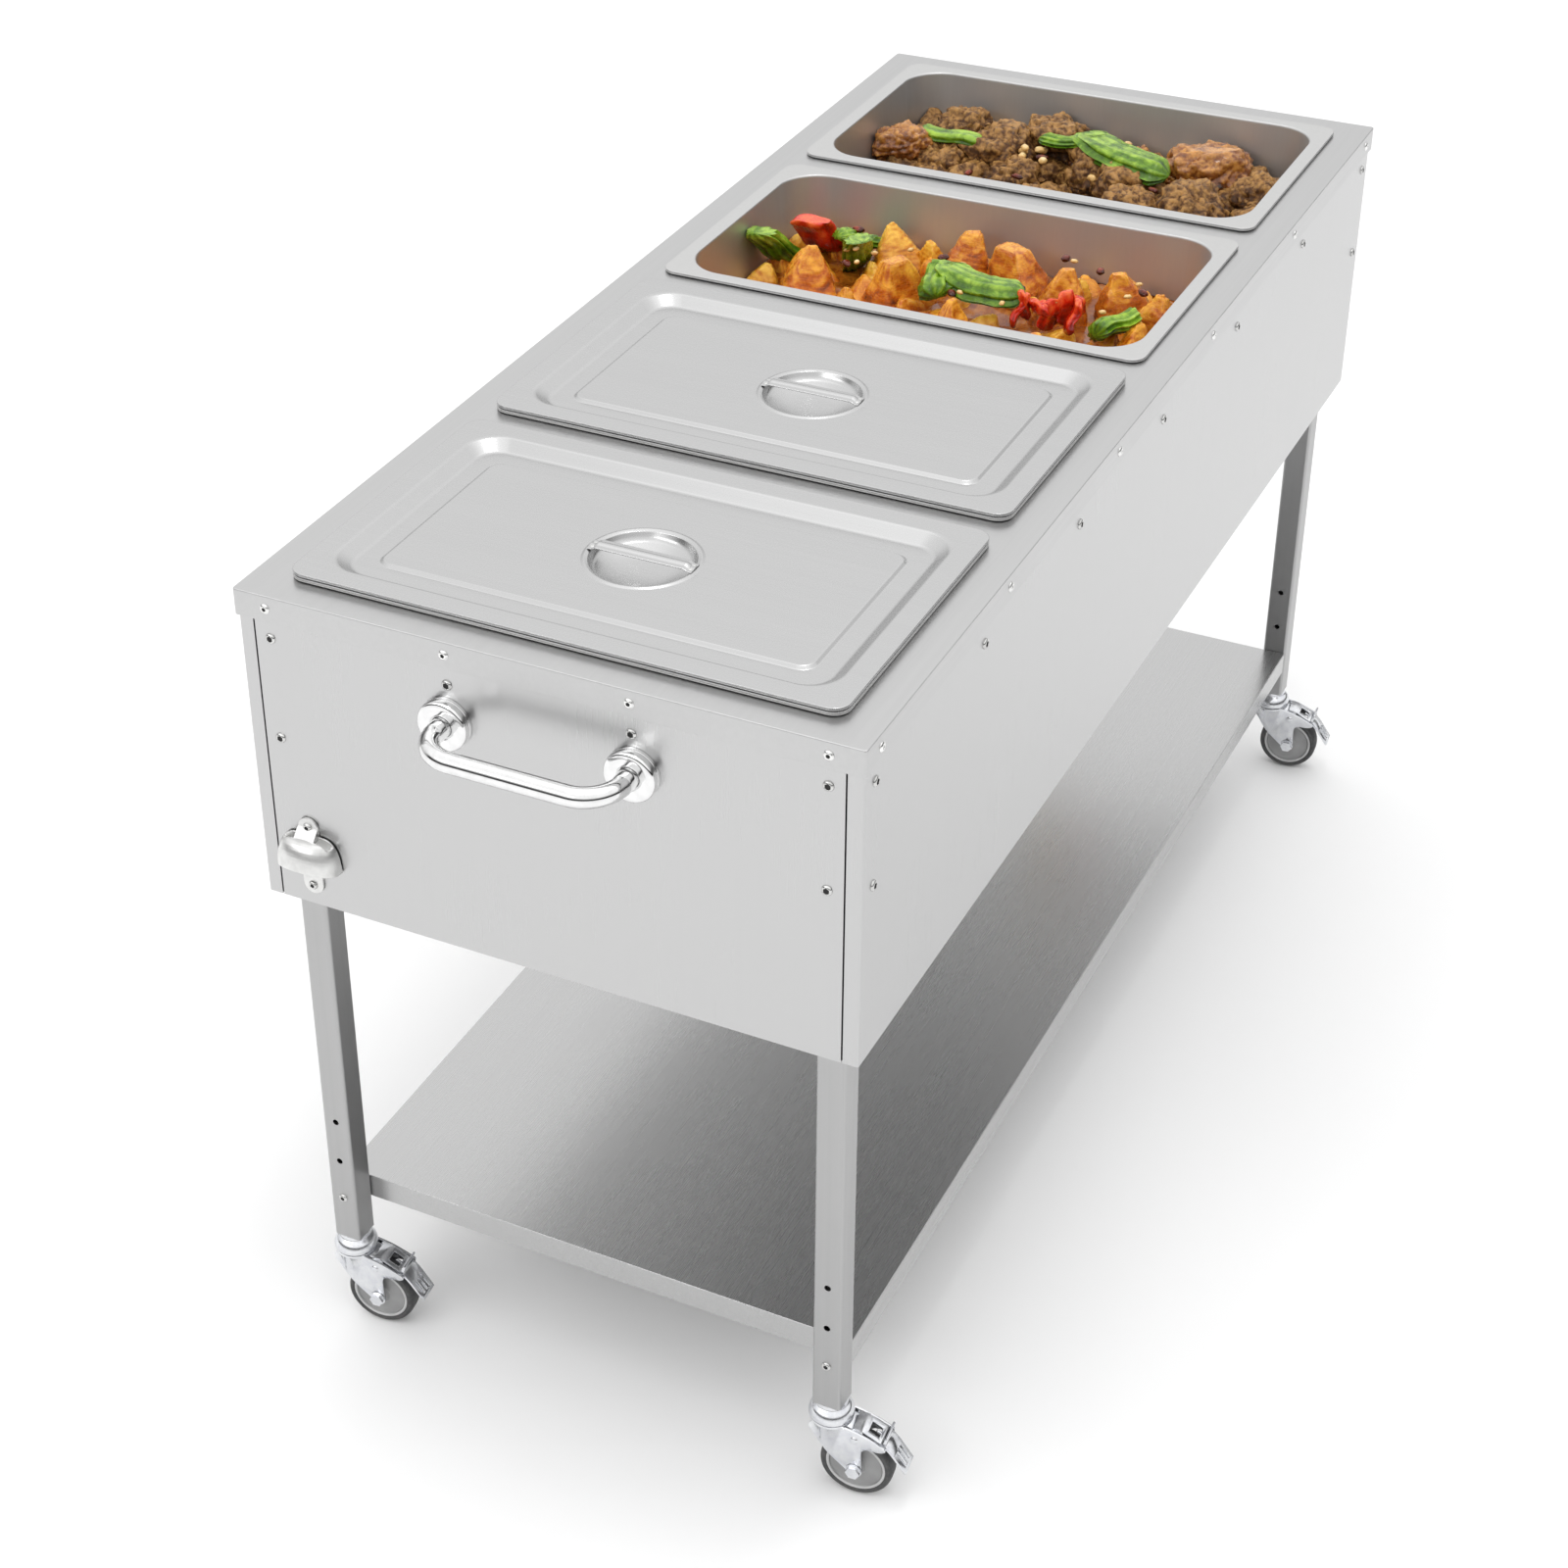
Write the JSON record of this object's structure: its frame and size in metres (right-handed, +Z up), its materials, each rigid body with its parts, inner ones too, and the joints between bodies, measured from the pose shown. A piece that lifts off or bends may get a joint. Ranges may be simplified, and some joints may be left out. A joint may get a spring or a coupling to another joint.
{
  "type": "mobile steam table unit",
  "caption": "Mobile steam table: sheet-metal water bath on casters with lift-out food pans, lids, undershelf, grab handle and bottle opener.",
  "frame": {"origin": "bottom centre of the bounding box, on the floor under the wheels", "axes": "+X along the long side, from the grab handle end to the control end; -Y towards the front side; +Z up"},
  "size_m": [1.5464, 0.6428, 0.8746],
  "materials": {
    "brushed_stainless": "brushed",
    "casing_stainless": "smooth satin",
    "pan_stainless": "satin, warm grey",
    "shelf_stainless": "smooth satin",
    "leg_steel": "satin",
    "polished_stainless": "polished",
    "plated_casting": "bright plated casting",
    "bright_zinc": "bright zinc plate",
    "hub_plastic": "moulded grey nylon",
    "tyre_rubber": "matt",
    "black_plastic": "moulded",
    "red_lens": "clear red lens",
    "glass_wool": "felted",
    "element_sheath": "heat-darkened sheath",
    "valve_brass": "turned",
    "lever_coating": "dipped vinyl",
    "glazed_wedges": "cooked, glazed",
    "braised_meat": "cooked, moist"
  },
  "bodies": {
    "root": {"top_deck": "brushed_stainless", "water_tank": "pan_stainless", "heating_element": "element_sheath", "tank_insulation": "glass_wool", "side_panel_front": "casing_stainless", "side_panel_rear": "casing_stainless", "end_panel_left": "casing_stainless", "end_panel_right": "casing_stainless", "bottom_panel": "casing_stainless", "undershelf": "shelf_stainless", "grab_handle": "polished_stainless", "handle_rosette_front": "polished_stainless", "handle_rosette_rear": "polished_stainless", "bottle_opener": "plated_casting", "thermostat": "black_plastic", "power_switch_body": "black_plastic", "pilot_lamp": "red_lens", "power_inlet": "black_plastic", "drain_valve": "valve_brass", "front_left_leg": "leg_steel", "front_left_caster_head": "bright_zinc", "front_right_leg": "leg_steel", "front_right_caster_head": "bright_zinc", "rear_left_leg": "leg_steel", "rear_left_caster_head": "bright_zinc", "rear_right_leg": "leg_steel", "rear_right_caster_head": "bright_zinc"},
    "pan_1": {"pan_1": "pan_stainless"},
    "pan_2": {"pan_2": "pan_stainless"},
    "pan_3": {"pan_3": "pan_stainless", "orange_wedges": "glazed_wedges"},
    "pan_4": {"pan_4": "pan_stainless", "braised_beef": "braised_meat"},
    "lid_1": {"lid_1": "brushed_stainless", "lid_strap_1": "brushed_stainless"},
    "lid_2": {"lid_2": "brushed_stainless", "lid_strap_2": "brushed_stainless"},
    "thermostat_knob": {"thermostat_knob": "black_plastic"},
    "switch_rocker": {"power_switch_rocker": "black_plastic"},
    "drain_lever": {"drain_lever": "lever_coating"},
    "front_left_swivel": {"front_left_caster_fork": "bright_zinc", "front_left_axle_bolt": "bright_zinc"},
    "front_left_wheel": {"front_left_wheel_hub": "hub_plastic", "front_left_tyre": "tyre_rubber"},
    "front_left_pedal": {"front_left_brake_pedal": "bright_zinc"},
    "front_right_swivel": {"front_right_caster_fork": "bright_zinc", "front_right_axle_bolt": "bright_zinc"},
    "front_right_wheel": {"front_right_wheel_hub": "hub_plastic", "front_right_tyre": "tyre_rubber"},
    "front_right_pedal": {"front_right_brake_pedal": "bright_zinc"},
    "rear_left_swivel": {"rear_left_caster_fork": "bright_zinc", "rear_left_axle_bolt": "bright_zinc"},
    "rear_left_wheel": {"rear_left_wheel_hub": "hub_plastic", "rear_left_tyre": "tyre_rubber"},
    "rear_left_pedal": {"rear_left_brake_pedal": "bright_zinc"},
    "rear_right_swivel": {"rear_right_caster_fork": "bright_zinc", "rear_right_axle_bolt": "bright_zinc"},
    "rear_right_wheel": {"rear_right_wheel_hub": "hub_plastic", "rear_right_tyre": "tyre_rubber"},
    "rear_right_pedal": {"rear_right_brake_pedal": "bright_zinc"}
  },
  "joints": [
    {"name": "front_left_swivel_turn", "type": "hinge", "parent": "root", "child": "front_left_swivel", "pos_m": [-0.675, -0.24254, 0.088], "axis": [0, 0, 1], "continuous": true},
    {"name": "front_left_wheel_spin", "type": "hinge", "parent": "front_left_swivel", "child": "front_left_wheel", "pos_m": [-0.67213, -0.26989, 0.036], "axis": [0.9945, 0.1045, 0], "continuous": true},
    {"name": "front_left_brake_press", "type": "hinge", "parent": "front_left_swivel", "child": "front_left_pedal", "pos_m": [-0.67218, -0.26939, 0.0755], "axis": [0.9945, 0.1045, 0], "range_deg": [0, 10]},
    {"name": "front_right_swivel_turn", "type": "hinge", "parent": "root", "child": "front_right_swivel", "pos_m": [0.712, -0.24254, 0.088], "axis": [0, 0, 1], "continuous": true},
    {"name": "front_right_wheel_spin", "type": "hinge", "parent": "front_right_swivel", "child": "front_right_wheel", "pos_m": [0.71487, -0.26989, 0.036], "axis": [0.9945, 0.1045, 0], "continuous": true},
    {"name": "front_right_brake_press", "type": "hinge", "parent": "front_right_swivel", "child": "front_right_pedal", "pos_m": [0.71482, -0.26939, 0.0755], "axis": [0.9945, 0.1045, 0], "range_deg": [0, 10]},
    {"name": "rear_left_swivel_turn", "type": "hinge", "parent": "root", "child": "rear_left_swivel", "pos_m": [-0.675, 0.28526, 0.088], "axis": [0, 0, 1], "continuous": true},
    {"name": "rear_left_wheel_spin", "type": "hinge", "parent": "rear_left_swivel", "child": "rear_left_wheel", "pos_m": [-0.67213, 0.25791, 0.036], "axis": [0.9945, 0.1045, 0], "continuous": true},
    {"name": "rear_left_brake_press", "type": "hinge", "parent": "rear_left_swivel", "child": "rear_left_pedal", "pos_m": [-0.67218, 0.25841, 0.0755], "axis": [0.9945, 0.1045, 0], "range_deg": [0, 10]},
    {"name": "rear_right_swivel_turn", "type": "hinge", "parent": "root", "child": "rear_right_swivel", "pos_m": [0.712, 0.28526, 0.088], "axis": [0, 0, 1], "continuous": true},
    {"name": "rear_right_wheel_spin", "type": "hinge", "parent": "rear_right_swivel", "child": "rear_right_wheel", "pos_m": [0.71487, 0.25791, 0.036], "axis": [0.9945, 0.1045, 0], "continuous": true},
    {"name": "rear_right_brake_press", "type": "hinge", "parent": "rear_right_swivel", "child": "rear_right_pedal", "pos_m": [0.71482, 0.25841, 0.0755], "axis": [0.9945, 0.1045, 0], "range_deg": [0, 10]},
    {"name": "pan_1_lift", "type": "slide", "parent": "root", "child": "pan_1", "axis": [0, 0, 1], "range_m": [0, 0.22]},
    {"name": "pan_2_lift", "type": "slide", "parent": "root", "child": "pan_2", "axis": [0, 0, 1], "range_m": [0, 0.22]},
    {"name": "pan_3_lift", "type": "slide", "parent": "root", "child": "pan_3", "axis": [0, 0, 1], "range_m": [0, 0.22]},
    {"name": "pan_4_lift", "type": "slide", "parent": "root", "child": "pan_4", "axis": [0, 0, 1], "range_m": [0, 0.22]},
    {"name": "lid_1_lift", "type": "slide", "parent": "pan_1", "child": "lid_1", "axis": [0, 0, 1], "range_m": [0, 0.15]},
    {"name": "lid_2_lift", "type": "slide", "parent": "pan_2", "child": "lid_2", "axis": [0, 0, 1], "range_m": [0, 0.15]},
    {"name": "thermostat_turn", "type": "hinge", "parent": "root", "child": "thermostat_knob", "pos_m": [0.7457, -0.06864, 0.611], "axis": [1, 0, 0], "range_deg": [-270, 0]},
    {"name": "power_rock", "type": "hinge", "parent": "root", "child": "switch_rocker", "pos_m": [0.7462, 0.02136, 0.611], "axis": [0, 1, 0], "range_deg": [-18, 0]},
    {"name": "drain_turn", "type": "hinge", "parent": "root", "child": "drain_lever", "pos_m": [0.6185, 0.02136, 0.514], "axis": [1, 0, 0], "range_deg": [0, 90]}
  ]
}
